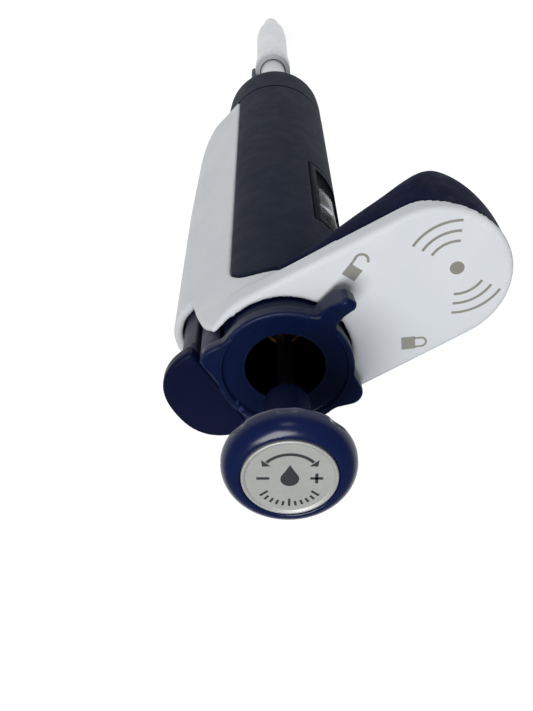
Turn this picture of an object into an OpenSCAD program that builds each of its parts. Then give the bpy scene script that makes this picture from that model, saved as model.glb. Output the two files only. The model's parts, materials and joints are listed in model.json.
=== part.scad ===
// Adjustable-volume micropipette, millimetres.
// +Z runs up the plunger axis, the origin is the centre of the shaft's nose,
// and the finger hook points along +X. Rest pose: largest volume, button up.

/* [Handle] */
// Distance from the shaft nose to the face of the plunger button
total_len = 236; // [234:1:238]
// Radius of the front of the handle, about the plunger axis
grip_r = 12; // [11.9:0.1:12.2]
// Depth of the handle behind the plunger axis
rear_reach = 21.4; // [21.2:0.1:21.6]
// Wall thickness of the handle mouldings
wall = 1.6; // [1.4:0.1:1.7]
// Clearance between neighbouring mouldings
seam = 0.15; // [0.1:0.05:0.2]

/* [Finger hook] */
// Reach of the hook in front of the plunger axis
hook_reach = 38.2; // [37.8:0.1:38.5]
// Radius of the hook's rounded end, seen from above
hook_end_r = 11.6; // [11:0.1:11.8]
// Thickness of the white top plate of the hook
plate_t = 3.5; // [3.2:0.1:3.8]
// Depth of the curled tip below the top plate
curl_depth = 18.6; // [16:0.2:19]

/* [Plunger and piston] */
// Radius of the plunger button
knob_r = 9.3; // [9:0.1:9.6]
// Radius of the blue stem under the button
stem_r = 3.45; // [3.2:0.05:3.6]
// Radius of the piston
piston_r = 2.7; // [2.6:0.05:2.7]

/* [Lock ring] */
// Radius of the hole that the stem passes through
ring_hole_r = 6.3; // [6:0.1:6.5]
// Radius of the ring's skirt
ring_r = 10.4; // [10.2:0.1:10.4]
// Reach of the lock lever from the axis
lever_reach = 17; // [16:0.5:18]

/* [Counter] */
// Radius of the number drums
drum_r = 9; // [8.8:0.1:9.1]
// Teeth on each drum's gear
drum_teeth = 20; // [20:20]
// Teeth on each transfer pinion
pinion_teeth = 8; // [8:8]

/* [Shaft] */
// Radius of the nose that carries the tip
nose_r = 2.6; // [2.4:0.1:2.8]
// Length of the parallel nose
nose_len = 7; // [6:0.5:8]
// Outer radius of the shaft inside the ejector sleeve
shaft_r = 3.6; // [3.5:0.1:3.6]

/* [Hidden] */
$fn = 72;
e = 0.01;
label_r = 6.5;

// Heights, from the button face down
knob_z = total_len - 4.6;
stem_z = total_len - 18;
hook_z = total_len - 28.5;
lip_z = hook_z + 4.5;
plate_z = hook_z - plate_t;
grip_top = hook_z - 6.9;
grip_rear_x = -3.5;
pad_top = hook_z + 1.5;
pad_z = hook_z - 1;
frame_z = hook_z - 28;
frame_top = plate_z - 0.2;
neck_r = 8.45;

// Counter and volume drive
plate2_t = 2;
cage_top = frame_z;
drum_h = 6.6;
drum_pitch = 7.6;
units_z = cage_top - 25;
cage_z = units_z - 2.4;
drum_gear_h = 2.4;
gear_root_r = 6.4;
gear_tip_r = 7.5;
pinion_hub_r = 2.1;
pinion_tip_r = 3.3;
pinion_x = -9.8;
pinion_h = 1.8;
axle_r = 0.8;
post_x = -10.5;
post_y = 5.5;
sleeve_z = cage_z - 15.6;
sleeve_top = cage_top - 0.8;
sleeve_r = 5.2;
sleeve_bore_r = 3.5;
screw_r = 3.2;
screw_top = hook_z - 7.5;
screw_z = hook_z - 57.5;
hex_r = 1.4;

// Lower end of the handle
spine_z = 108;
cap_top = 108;
cap_z = 90;
thread_r = 8.8;
nut_z = 82;
nut_top = 102;
head_r = 7.4;
head_z = 83.7;
head_top = 93.5;
seat_top = head_top + 1.7;
blowout_z = 101.4;
blowout_t = 1.7;
piston_top = 122.2;
piston_head_t = 3;
piston_z = 50;
seal_z = 88;
bore_r = piston_r + 0.3;
bore_z = 33;
sleeve_low_z = 12.5;
sleeve_high_z = 56;
window_z = units_z + 0.5;
window_h = 26;

// Handle section: a front circle on the plunger axis and a rear circle that
// grows and moves inwards towards the lower end. d is the depth below hook_z.
function section_reach(d) = rear_reach
    - lookup(d, [[0, 0], [62, 0], [72, 0.4], [82, 0.8], [92, 1.4], [97, 2.4], [106.5, 6]]);
function section_rear_r(d) = lookup(d, [[0, 8], [57, 8], [85, 8.8], [95, 9.5], [106.5, 10.5], [112, 10.7]]);
function section_point(a, d, inset) =
    let (rear = section_rear_r(d) - inset)
    let (back = section_reach(d) - section_rear_r(d))
    rear - back * cos(a) > grip_r - inset
        ? [rear * cos(a) - back, rear * sin(a)]
        : [(grip_r - inset) * cos(a), (grip_r - inset) * sin(a)];
function section(d, inset) = [for (i = [0:71]) section_point(i * 5, d, inset)];

// Closed solid through rings of equal point count, lowest ring first
module loft(rings) {
    n = len(rings[0]);
    last = len(rings) - 1;
    points = [for (ring = rings) each ring];
    low_cap = [[for (i = [0:n - 1]) i]];
    high_cap = [[for (i = [0:n - 1]) last * n + n - 1 - i]];
    sides = [for (k = [0:last - 1]) for (i = [0:n - 1])
        let (j = (i + 1) % n)
        each [[k * n + i, (k + 1) * n + i, k * n + j],
              [k * n + j, (k + 1) * n + i, (k + 1) * n + j]]];
    polyhedron(points = points, faces = concat(low_cap, high_cap, sides), convexity = 4);
}

// The handle's tapering body from height low to height high, inset from its surface
module handle_solid(low, high, inset) {
    breaks = [hook_z - 106.5, hook_z - 100, hook_z - 97, hook_z - 92, hook_z - 87, hook_z - 82,
        hook_z - 72, hook_z - 62];
    levels = concat([low], [for (z = breaks) if (z > low + 0.5 && z < high - 0.5) z], [high]);
    loft([for (z = levels) [for (p = section(hook_z - z, inset)) [p[0], p[1], z]]]);
}

// Points of an arc in the XY plane
function arc(cx, cy, r, a0, a1, n) = [for (i = [0:n]) let (a = a0 + (a1 - a0) * i / n)
    [cx + r * cos(a), cy + r * sin(a)]];

// Side view of the dark front panel, grown by g
module panel_outline(low, g) {
    left = grip_rear_x - g;
    high = grip_top + g;
    r = 7 + g;
    polygon(concat([[30, low], [30, high]], arc(left + r, high - r, r, 90, 180, 8), [[left, low]]));
}

// Turns a side view drawn as (x, z) into a slab along Y
module side_slab(half_width) {
    rotate([90, 0, 0]) linear_extrude(2 * half_width, center = true) children();
}

// Hook outline seen from above, inset by g
module hook_outline(g) {
    hull() {
        circle(r = grip_r + 0.2 - g);
        translate([hook_reach - hook_end_r, 0]) circle(r = hook_end_r - g);
    }
}

module body_shell() {
    color("white") difference() {
        union() {
            handle_solid(spine_z, hook_z - 1.2, 0);
            translate([0, 0, plate_z]) linear_extrude(plate_t - 1.2) hook_outline(0);
            hull() {
                translate([0, 0, hook_z - 1.2]) linear_extrude(e) hook_outline(0);
                translate([0, 0, hook_z - e]) linear_extrude(e) hook_outline(0.7);
            }
        }
        // inside of the shell, above a floor that closes its lower end
        handle_solid(spine_z + 1.3, plate_z, wall);
        translate([0, 0, spine_z - 1]) cylinder(r = grip_r - wall + 0.15, h = 4);
        translate([-17.2, -3.1, spine_z - 1]) cube([3.6, 6.2, 4]);
        side_slab(20) panel_outline(spine_z - 1, seam / 2);
        // rear of the top dips round the ejector button and ends in a notch
        side_slab(20) polygon([[-30, hook_z - 16.5], [-14, hook_z - 16.5], [-13.1, hook_z - 14.3],
            [-12.2, hook_z - 10.9], [-11.3, hook_z - 8.2], [-10.2, hook_z - 5.2], [-9, hook_z - 2.7],
            [-7.8, hook_z - 1], [-6.8, hook_z + 1], [-30, hook_z + 1]]);
        // front edge of the plate, thinned where the curled tip wraps round it
        side_slab(20) polygon(concat([[28, plate_z - 1]],
            [for (x = [28:1.2:39]) [x, plate_z + tip_rise(x)]], [[39, plate_z - 1]]));
        // opening for the lock ring
        translate([0, 0, plate_z - 1]) cylinder(r = ring_r + 0.35, h = plate_t + 2);
        intersection() {
            translate([0, 0, plate_z - 1]) linear_extrude(plate_t + 2) polygon(section(0, wall));
            translate([-33.5, -20, plate_z - 1]) cube([30, 40, plate_t + 2]);
        }
    }
}

module grip_panel() {
    color("darkslategray") difference() {
        intersection() {
            difference() {
                handle_solid(cap_top + seam, plate_z - 0.5, 0);
                handle_solid(cap_top - 1, plate_z, wall);
            }
            side_slab(20) panel_outline(cap_top + seam, -seam / 2);
        }
        translate([0, -5.4, window_z - 2.1]) cube([20, 10.8, window_h + 0.2]);
    }
}

// Half-width of the hook and depth of its curled underside, at distance x
function hook_half_width(x) = let (c = hook_reach - hook_end_r, s = x - c)
    x < c ? hook_end_r + (grip_r + 0.2 - hook_end_r) * (c - x) / c
          : sqrt(max(0.04, hook_end_r * hook_end_r - s * s));
function smooth(t) = t < 0 ? 0 : t > 1 ? 1 : t * t * (3 - 2 * t);
function hook_depth(x) = let (deep = hook_reach - 6)
    x < deep ? lookup(x, [[12, 5.2], [16, 8.7], [20, 11.2], [24, 12.9], [28, 15.2], [deep, curl_depth]])
             : curl_depth * pow(max(0.01, 1 - pow((x - deep) / 6, 1.9)), 1 / 1.9);
// How far the curled tip wraps up round the thin front edge of the top plate
function tip_rise(x) = 2.6 * smooth((x - 28) / 9.7);
function power(v, n) = sign(v) * pow(abs(v), n);
// Section of the hook's underside: flat top, square-rounded bottom
function hook_section(x) = [for (i = [0:20]) let (a = 180 + 9 * i)
    [x, (hook_half_width(x) - seam - 0.8 * smooth((x - 30) / 6)) * power(cos(a), 0.65),
     plate_z - seam + tip_rise(x) + (hook_depth(x) + tip_rise(x)) * power(sin(a), 0.65)]];

module hook_cover() {
    tip = hook_reach - 0.15;
    stations = [6, 12, 14, 16, 18, 20, 22, 24, 26, 28, 29, 30, 31, 31.6, hook_reach - 6, 33, 33.8, 34.6, 35.4,
        36.2, 36.9, 37.5, tip];
    color("midnightblue") difference() {
        loft([for (x = stations) hook_section(x)]);
        translate([0, 0, plate_z - 30]) cylinder(r = grip_r + seam, h = 40);
        // flat land that rests on a stand's peg
        translate([13, -7, plate_z - 12]) cube([5, 14, 9.2]);
        translate([hook_reach - 12.2, 0, plate_z - 1.3]) cylinder(r = 8.2, h = 3);
    }
}

module hook_tag() {
    color("goldenrod") translate([hook_reach - 12.2, 0, plate_z - 1.25]) difference() {
        cylinder(r = 8, h = 1);
        translate([0, 0, 0.4]) cylinder(r = 3, h = 1);
    }
}

module window_bezel() {
    color("black") intersection() {
        difference() {
            cylinder(r = grip_r, h = total_len);
            translate([0, 0, -1]) cylinder(r = grip_r - 1.8, h = total_len + 2);
        }
        difference() {
            translate([0, -5.3, window_z - 2]) cube([20, 10.6, window_h]);
            translate([0, -4, window_z]) cube([20, 8, window_h - 4]);
        }
    }
}

module window_lens() {
    color("lightcyan", 0.4) intersection() {
        difference() {
            cylinder(r = grip_r - 0.4, h = total_len);
            translate([0, 0, -1]) cylinder(r = grip_r - 1.2, h = total_len + 2);
        }
        translate([0, -3.95, window_z + 0.05]) cube([20, 7.9, window_h - 4.1]);
    }
}

module inner_frame() {
    flat_back = -11.3;
    color("slategray") difference() {
        union() {
            intersection() {
                translate([0, 0, frame_z]) linear_extrude(frame_top - frame_z)
                    polygon(section(0, wall + seam));
                translate([flat_back, -20, 0]) cube([40, 40, total_len]);
            }
            // rear wall that stands between the lock ring and the ejector button
            difference() {
                intersection() {
                    translate([0, 0, frame_top - e]) linear_extrude(hook_z + 2.1 - frame_top)
                        polygon(section(0, wall + seam));
                    translate([flat_back, -20, 0]) cube([-flat_back - 6.6, 40, total_len]);
                }
                translate([0, 0, frame_top - 1]) cylinder(r = ring_r + 0.35, h = 20);
            }
        }
        translate([0, 0, frame_z + 3.5]) cylinder(r = neck_r, h = 60);
        translate([0, 0, frame_z - 1]) cylinder(r = 4.6, h = 10);
        for (s = [-1, 1]) translate([0, 7 * s, frame_z - 1]) cylinder(r = 0.9, h = 4.2);
    }
}

// Fixed brass nut that the volume screw climbs in
module screw_nut() {
    color("peru") difference() {
        union() {
            translate([0, 0, frame_z + 0.2]) cylinder(r = 4.6, h = 6.3);
            translate([0, 0, frame_z + 3.5]) cylinder(r = 6.4, h = 2, $fn = 6);
        }
        cylinder(r = screw_r + 0.06, h = total_len);
    }
}

// Split collar that the lock ring squeezes on the volume screw
module lock_brake() {
    h = 3.6;
    color("black") translate([0, 0, hook_z - 21.1]) difference() {
        union() {
            difference() {
                cylinder(r = 8.3, h = h);
                translate([0, 0, -1]) cylinder(r = 7.2, h = h + 2);
            }
            cylinder(r = 4.6, h = h);
            for (i = [0:2]) rotate(120 * i + 60) translate([4, -0.5, 0]) cube([3.6, 1, h]);
        }
        translate([0, 0, -1]) cylinder(r = screw_r + 0.3, h = h + 2);
        translate([0, -0.4, -1]) cube([10, 0.8, h + 2]);
    }
}

module cage_plate(z) {
    translate([0, 0, z]) difference() {
        linear_extrude(plate2_t) hull() {
            circle(r = 9.9);
            translate([post_x, post_y]) circle(r = 1.3);
            translate([post_x, -post_y]) circle(r = 1.3);
        }
        translate([0, 0, -1]) cylinder(r = sleeve_r + 0.06, h = 4);
        translate([pinion_x, 0, -1]) cylinder(r = axle_r, h = 4);
    }
}

module drum_cage() {
    color("dimgray") difference() {
        union() {
            cage_plate(cage_z);
            cage_plate(cage_top - plate2_t);
            for (s = [-1, 1]) translate([post_x, s * post_y, cage_z + 1])
                cylinder(r = 1.1, h = cage_top - cage_z - 2);
        }
        for (s = [-1, 1]) {
            translate([0, 7 * s, cage_top - 3]) cylinder(r = 0.95, h = 4);
            translate([0, 7 * s, cage_top - 3]) cylinder(r = 1.7, h = 2.1);
        }
    }
}

module cage_screws() {
    color("silver") for (s = [-1, 1]) translate([0, 7 * s, cage_top - 1.9]) difference() {
        union() {
            cylinder(r = 1.6, h = 1);
            cylinder(r = 0.88, h = 4.8);
        }
        translate([-1.2, -0.2, -e]) cube([2.4, 0.4, 0.4]);
    }
}

module pinion_axle() {
    color("silver") translate([pinion_x, 0, cage_z + 0.2])
        cylinder(r = axle_r, h = cage_top - cage_z - 0.4);
}

// Straight-sided gear teeth on a disc
module toothed_disc(count, root_r, tip_r, base_w, tip_w) {
    union() {
        circle(r = root_r);
        for (i = [0:count - 1]) rotate(360 / count * i)
            polygon([[root_r - 0.4, -base_w / 2], [tip_r, -tip_w / 2], [tip_r, tip_w / 2],
                [root_r - 0.4, base_w / 2]]);
    }
}

module number_drum(z, geared, hole_r) {
    translate([0, 0, z]) difference() {
        union() {
            low = geared ? drum_gear_h : 0;
            translate([0, 0, low]) cylinder(r = drum_r, h = drum_h - low);
            if (geared) linear_extrude(drum_gear_h + 0.1)
                toothed_disc(drum_teeth, gear_root_r, gear_tip_r, 1.0, 0.45);
        }
        translate([0, 0, -1]) cylinder(r = hole_r, h = drum_h + 2);
    }
}

module units_drum() {
    color("black") number_drum(units_z, false, sleeve_r);
}

module tens_drum() {
    color("black") number_drum(units_z + drum_pitch, true, sleeve_r + 0.1);
}

module hundreds_drum() {
    color("black") number_drum(units_z + 2 * drum_pitch, true, sleeve_r + 0.1);
}

// Transfer pinion between one drum and the next, below the drum at height z
module pinion(z) {
    translate([pinion_x, 0, z + 0.3]) difference() {
        linear_extrude(pinion_h) rotate(180 / pinion_teeth)
            toothed_disc(pinion_teeth, pinion_hub_r, pinion_tip_r, 1.0, 0.5);
        translate([0, 0, -1]) cylinder(r = axle_r + 0.06, h = pinion_h + 2);
    }
}

module tens_pinion() {
    color("ivory") pinion(units_z + drum_pitch);
}

module hundreds_pinion() {
    color("ivory") pinion(units_z + 2 * drum_pitch);
}

// Tube that carries the units drum; two grooves inside it guide the screw's lugs
module drive_sleeve() {
    color("gray") difference() {
        translate([0, 0, sleeve_z]) cylinder(r = sleeve_r, h = sleeve_top - sleeve_z);
        translate([0, 0, sleeve_z - 1]) cylinder(r = sleeve_bore_r, h = 60);
        translate([-4.5, -1.05, sleeve_z - 1]) cube([9, 2.1, 60]);
    }
}

module volume_screw() {
    color("peru") difference() {
        union() {
            translate([0, 0, screw_z]) cylinder(r = screw_r, h = screw_top - screw_z);
            translate([-4.3, -0.9, screw_z]) cube([8.6, 1.8, 3]);
        }
        translate([0, 0, screw_z - 1]) cylinder(r = hex_r + 0.12, h = 60, $fn = 6);
        translate([0, 0, screw_top - 1]) cylinder(r1 = 1.4, r2 = 2.5, h = 1 + e);
    }
}

module end_cap() {
    front_x = grip_rear_x + seam / 2;
    inner_r = grip_r - wall - seam;
    color("darkslategray") difference() {
        union() {
            rotate_extrude() polygon(concat([[thread_r + 0.05, cap_z], [9.4, cap_z]],
                arc(9.4, cap_z + 2.6, 2.6, -90, -4, 6), [[grip_r - 0.05, spine_z - 2],
                [grip_r - 0.05, spine_z - seam], [thread_r + 0.05, spine_z - seam]]));
            intersection() {
                translate([0, 0, spine_z - 1]) cylinder(r = grip_r - 0.05, h = cap_top - spine_z + 1);
                translate([front_x, -20, 0]) cube([40, 40, 300]);
            }
            translate([0, 0, spine_z - 1]) cylinder(r = inner_r, h = 6);
            translate([-10, -2.4, 110]) cube([3, 4.8, 4]);
        }
        difference() {
            union() {
                translate([0, 0, cap_z - 1]) cylinder(r = thread_r + 0.05, h = 13.5);
                translate([0, 0, 102]) cylinder(r = 9.1, h = 20);
            }
            translate([-10, -2.4, 110]) cube([3, 4.8, 4]);
        }
        translate([-8.5, 0, 100]) cylinder(r = 0.85, h = 20);
    }
}

module coupling_nut() {
    color("gray") difference() {
        rotate_extrude() polygon([[5.6, nut_z], [7, nut_z], [7.5, nut_z + 0.6], [8.3, 86], [8.3, 89.7],
            [thread_r, 89.9], [thread_r, nut_top], [head_r + 0.1, nut_top], [head_r + 0.1, head_z],
            [5.6, head_z]]);
        for (i = [0:23]) rotate(15 * i) translate([8.75, 0, 80]) cylinder(r = 0.6, h = 9.6, $fn = 16);
    }
}

module shaft() {
    color("gainsboro") rotate_extrude() polygon([[0.9, 0], [nose_r, 0], [nose_r, nose_len],
        [shaft_r - 0.5, nose_len + 0.8], [shaft_r, 14], [shaft_r, 62], [5.2, 80], [5.2, head_z],
        [head_r, head_z], [head_r, head_top], [4.7, head_top], [4.7, seal_z], [bore_r, seal_z],
        [bore_r, bore_z], [0.9, bore_z - 3]]);
}

module piston_seal() {
    color("white") translate([0, 0, seal_z + 1.75]) difference() {
        cylinder(r = 4.65, h = head_top - seal_z - 1.8);
        translate([0, 0, -1]) cylinder(r = piston_r + 0.05, h = 10);
    }
}

module seal_o_ring() {
    color("black") translate([0, 0, seal_z + 0.86]) rotate_extrude()
        translate([piston_r + 0.93, 0]) circle(r = 0.85, $fn = 24);
}

module spring_seat() {
    color("silver") translate([0, 0, head_top + 0.05]) difference() {
        cylinder(r = head_r, h = 1.65);
        translate([0, 0, -1]) cylinder(r = piston_r + 0.3, h = 5);
    }
}

// Compression spring: closed rings joined by a rising helix of straight wire pieces
module coil(mean_r, wire_r, length, turns) {
    steps = 16;
    count = round(turns * steps);
    rise = length - 2 * wire_r;
    function centre(i) = let (a = 360 * i / steps)
        [mean_r * cos(a), mean_r * sin(a), wire_r + rise * i / count];
    function ring(i) = let (a = 360 * i / steps)
        [for (k = [0:5]) let (b = -60 * k)
            centre(i) + wire_r * [cos(b) * cos(a), cos(b) * sin(a), sin(b)]];
    loft([for (i = [0:count]) ring(i)]);
}

module piston_spring() {
    color("silver") translate([0, 0, seat_top]) coil(3.9, 0.45, piston_top - piston_head_t - seat_top, 7);
}

module blowout_spring() {
    color("silver") translate([0, 0, seat_top]) coil(6.3, 0.6, blowout_z - seat_top, 3);
}

module blowout_washer() {
    color("silver") translate([0, 0, blowout_z]) difference() {
        cylinder(r = head_r - 0.1, h = blowout_t);
        translate([0, 0, -1]) cylinder(r = 4.8, h = 5);
    }
}

module ejector_spring() {
    color("silver") translate([-8.5, 0, 114]) coil(1.35, 0.25, 19, 8);
}

module plunger_button() {
    color("mediumblue") difference() {
        rotate_extrude() polygon(concat([[0, knob_z], [knob_r - 2.2, knob_z]],
            arc(knob_r - 1.6, knob_z + 1.6, 1.6, -70, 0, 5), arc(knob_r - 3, total_len - 3, 3, 0, 80, 8),
            [[label_r + 0.3, total_len - 0.1], [label_r + 0.1, total_len - 0.7], [0, total_len - 0.7]]));
        for (i = [0:7]) rotate(45 * i + 16) translate([knob_r + 1.9, 0, knob_z - 1])
            cylinder(r = 2.4, h = 2.9);
        translate([0, 0, knob_z - 1]) cylinder(r = 2.4, h = 3.8);
    }
}

module button_label() {
    color("silver") rotate_extrude() polygon([[0, total_len - 0.7], [label_r, total_len - 0.7],
        [label_r, total_len - 0.15], [label_r - 0.3, total_len], [0, total_len]]);
}

module plunger_stem() {
    color("mediumblue") difference() {
        rotate_extrude() polygon(concat([[0, stem_z]], arc(stem_r - 2.4, stem_z + 2.4, 2.4, -90, 0, 6),
            [[stem_r, knob_z], [2.4, knob_z], [2.4, knob_z + 2.6], [0, knob_z + 2.6]]));
        translate([0, 0, stem_z - 1]) cylinder(r = hex_r, h = 9, $fn = 6);
    }
}

module plunger_rod() {
    color("black") translate([0, 0, piston_top]) cylinder(r = hex_r, h = stem_z + 8 - piston_top, $fn = 6);
}

// Collar on the rod that stops against the volume screw
module stop_flange() {
    color("silver") translate([0, 0, sleeve_z - 2.2]) difference() {
        cylinder(r = sleeve_bore_r - 0.2, h = 3);
        translate([0, 0, -1]) cylinder(r = hex_r, h = 6, $fn = 6);
    }
}

module piston() {
    color("silver") union() {
        translate([0, 0, piston_z]) cylinder(r = piston_r, h = piston_top - piston_z);
        translate([0, 0, piston_top - piston_head_t]) cylinder(r = 5.2, h = piston_head_t);
    }
}

// Rounded finger lobe on the lock ring's lip
module ring_lobe(angle) {
    rotate(angle) translate([0, 0, lip_z - 2.1]) linear_extrude(2) hull() {
        translate([6, 0]) circle(r = 5.4, $fn = 48);
        translate([ring_r + 0.5, 0]) circle(r = 2.3, $fn = 32);
    }
}

module lock_ring() {
    color("mediumblue") difference() {
        union() {
            rotate_extrude() polygon([[ring_hole_r, lip_z - 2], [ring_hole_r, lip_z - 1], [9.6, lip_z - 0.8],
                [10, lip_z], [ring_r + 0.1, lip_z], [ring_r + 0.4, lip_z - 0.3], [ring_r + 0.4, lip_z - 2.1],
                [ring_r, lip_z - 2.2], [ring_r, frame_top + 0.4], [neck_r - 0.07, frame_top + 0.4],
                [neck_r - 0.07, hook_z - 17.1], [7.4, hook_z - 17.1], [7.4, lip_z - 2.4]]);
            difference() {
                union() {
                    ring_lobe(138);
                    ring_lobe(-55);
                }
                translate([0, 0, lip_z - 5]) cylinder(r = 9.9, h = 10);
            }
            rotate(25) intersection() {
                side_slab(1.6) polygon([[10.2, hook_z + 0.7], [15, hook_z + 1.2],
                    [lever_reach - 0.4, hook_z + 3.4], [lever_reach, hook_z + 6.8],
                    [lever_reach - 0.8, hook_z + 7.4], [13.4, hook_z + 5.4], [10.2, lip_z - 0.2]]);
                translate([0, 0, hook_z]) linear_extrude(9) polygon([[9, -1.6], [11.5, -1.6],
                    [lever_reach, -1], [lever_reach, 1], [11.5, 1.6], [9, 1.6]]);
            }
        }
    }
}

// Rounded outline of the ejector button, seen from above
function pad_edge(i) = let (a = 90 + 7.5 * i)
    [-11.75 + 9.3 * power(cos(a), 0.85), 9.1 * power(sin(a), 0.85)];

module ejector_button() {
    color("midnightblue") translate([0, 0, pad_z]) linear_extrude(pad_top - pad_z)
        polygon([for (i = [0:24]) pad_edge(i)]);
}

module ejector_arm() {
    guide_x = -8.5;
    color("dimgray") difference() {
        union() {
            intersection() {
                translate([0, 0, hook_z - 22]) linear_extrude(pad_z - hook_z + 22)
                    polygon(section(0, wall + 0.4));
                translate([-33.2, -20, 0]) cube([20, 40, total_len]);
            }
            intersection() {
                translate([0, 0, hook_z - 6.6]) linear_extrude(pad_z - hook_z + 6.6)
                    polygon(section(0, 0.6));
                translate([-33.6, -20, 0]) cube([20, 40, total_len]);
            }
            side_slab(2.6) polygon([[-17, hook_z - 20], [-17, 141], [-16.6, 129], [-16.1, 117],
                [-15.8, 108], [-15.4, 100], [-15.2, 92], [-14.8, 86], [-14, 80], [-10.6, 70],
                [-7.6, 63.5], [-6.2, 60], [-6.2, sleeve_high_z - 6], [-4.6, sleeve_high_z - 6],
                [-4.6, 60], [-6.2, 63.6], [-9.3, 70.6], [-12.7, 80.4], [-13.5, 86.3],
                [-13.9, 92], [-14.1, 100], [-14.5, 108], [-14.8, 117], [-15.3, 129], [-15.5, 131.5],
                [-7, 133], [-7, 135.5], [-15.5, 137], [-15.7, 141], [-15.7, hook_z - 20]]);
            translate([guide_x, 0, 116.5]) cylinder(r = 0.7, h = 17);
        }
        translate([0, 0, sleeve_high_z - 7]) cylinder(r = 5.3, h = 9);
    }
}

module ejector_sleeve() {
    color("gainsboro") rotate_extrude() polygon([[shaft_r + 0.25, sleeve_low_z], [4.4, sleeve_low_z],
        [4.9, 20], [4.9, sleeve_high_z - 7], [5.3, sleeve_high_z - 6.6], [5.3, sleeve_high_z],
        [shaft_r + 0.25, sleeve_high_z]]);
}

body_shell();
grip_panel();
hook_cover();
hook_tag();
window_bezel();
window_lens();
inner_frame();
screw_nut();
lock_brake();
drum_cage();
cage_screws();
pinion_axle();
end_cap();
coupling_nut();
shaft();
piston_seal();
seal_o_ring();
spring_seat();
piston_spring();
blowout_spring();
blowout_washer();
ejector_spring();
plunger_button();
button_label();
plunger_stem();
plunger_rod();
stop_flange();
piston();
drive_sleeve();
units_drum();
volume_screw();
tens_drum();
hundreds_drum();
tens_pinion();
hundreds_pinion();
lock_ring();
ejector_button();
ejector_arm();
ejector_sleeve();
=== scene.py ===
"""Looks of the adjustable micropipette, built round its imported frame.

Shapes are worked out in millimetres and become metres when a mesh is made. +Z runs up the plunger
axis, the origin is the shaft's nose, and the finger hook points along +X. Most mouldings are
written as fields: functions that are negative inside the solid and grow with distance from it."""
import itertools
import json
import math

import bmesh
import bpy
import numpy as np
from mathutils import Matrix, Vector


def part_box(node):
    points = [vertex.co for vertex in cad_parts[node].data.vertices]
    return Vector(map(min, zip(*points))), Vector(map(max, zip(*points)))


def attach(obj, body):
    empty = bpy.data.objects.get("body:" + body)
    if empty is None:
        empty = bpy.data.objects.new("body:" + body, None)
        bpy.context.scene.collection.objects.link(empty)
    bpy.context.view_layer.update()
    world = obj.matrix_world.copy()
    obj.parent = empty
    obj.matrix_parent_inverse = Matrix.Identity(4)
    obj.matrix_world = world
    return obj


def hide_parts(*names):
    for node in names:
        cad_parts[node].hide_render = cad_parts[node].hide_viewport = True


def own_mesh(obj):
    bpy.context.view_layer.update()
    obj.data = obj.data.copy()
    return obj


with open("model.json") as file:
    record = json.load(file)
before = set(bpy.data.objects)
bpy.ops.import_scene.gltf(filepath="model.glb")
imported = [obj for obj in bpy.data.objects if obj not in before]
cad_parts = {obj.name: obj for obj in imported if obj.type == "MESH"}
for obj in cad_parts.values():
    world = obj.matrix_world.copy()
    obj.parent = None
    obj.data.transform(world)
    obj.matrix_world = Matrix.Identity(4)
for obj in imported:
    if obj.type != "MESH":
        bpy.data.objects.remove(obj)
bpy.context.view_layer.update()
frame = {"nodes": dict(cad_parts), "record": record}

MM = 0.001


def low(node):
    return [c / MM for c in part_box(node)[0]]


def high(node):
    return [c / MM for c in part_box(node)[1]]


def placed(name, mesh):
    """A new object of a mesh, in the scene."""
    made = bpy.data.objects.new(name, mesh)
    bpy.context.scene.collection.objects.link(made)
    return made


# ---------------------------------------------------------------- levels and sizes, from the frame
TOTAL = high("button_label")[2]
LABEL_R = high("button_label")[0]
KNOB_R = high("plunger_button")[0]
KNOB_Z = low("plunger_button")[2]
STEM_R = high("plunger_stem")[0]
STEM_Z = low("plunger_stem")[2]
HOOK_Z = high("body_shell")[2]
HOOK_REACH = high("body_shell")[0]
HOOK_SIDE = high("body_shell")[1]
REAR_REACH = -low("body_shell")[0]
SPINE_Z = low("body_shell")[2]
PLATE_Z = HOOK_Z - 3.5
PANEL_TOP = HOOK_Z - 6.9
PANEL_REAR = -3.5
PANEL_LOW = low("grip_panel")[2]
LIP_Z = HOOK_Z + 4.5
PAD_LOW, PAD_TOP = low("ejector_button")[2], high("ejector_button")[2]
WINDOW_LOW, WINDOW_HIGH = low("window_bezel")[2], high("window_bezel")[2]
CAP_Z = low("end_cap")[2]
SCREW_TOP = high("volume_screw")[2]
SCREW_LOW = low("volume_screw")[2]
SCREW_R = 3.2
DRUM_R = high("units_drum")[0]
GRIP_R = 12
WALL = 1.6
SEAM = 0.15
HOOK_END_R = 11.6
HOLE_R = 10.75
LEVER_ANGLE = 25
PIN_X = -8.5
TAG_PRINT_X = 29.9


# ---------------------------------------------------------------- distance fields
def round_both(a, b, r):
    """The part inside both a and b, with their edge rounded to radius r."""
    corner = np.hypot(np.maximum(a + r, 0), np.maximum(b + r, 0))
    return np.minimum(-r, np.maximum(a, b)) + corner


def round_either(a, b, r):
    """The part inside a or b, with a fillet of radius r between them."""
    return -round_both(-a, -b, r)


def cut(a, b, r):
    """a with b taken away and the new edge rounded to radius r."""
    return round_both(a, -b, r)


def slab(value, start, end):
    return np.maximum(start - value, value - end)


def ease(t):
    t = np.clip(t, 0, 1)
    return t * t * (3 - 2 * t)


def capsule(x, y, start_r, end_r, length):
    """Outline round a circle at the origin and a second one at (length, 0)."""
    side = np.abs(y)
    lean = (start_r - end_r) / length
    rise = np.sqrt(1 - lean * lean)
    along = rise * x - lean * side
    near = np.hypot(x, side) - start_r
    far = np.hypot(x - length, side) - end_r
    flank = rise * side + lean * x - start_r
    return np.where(along < 0, near, np.where(along > rise * length, far, flank))


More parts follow.
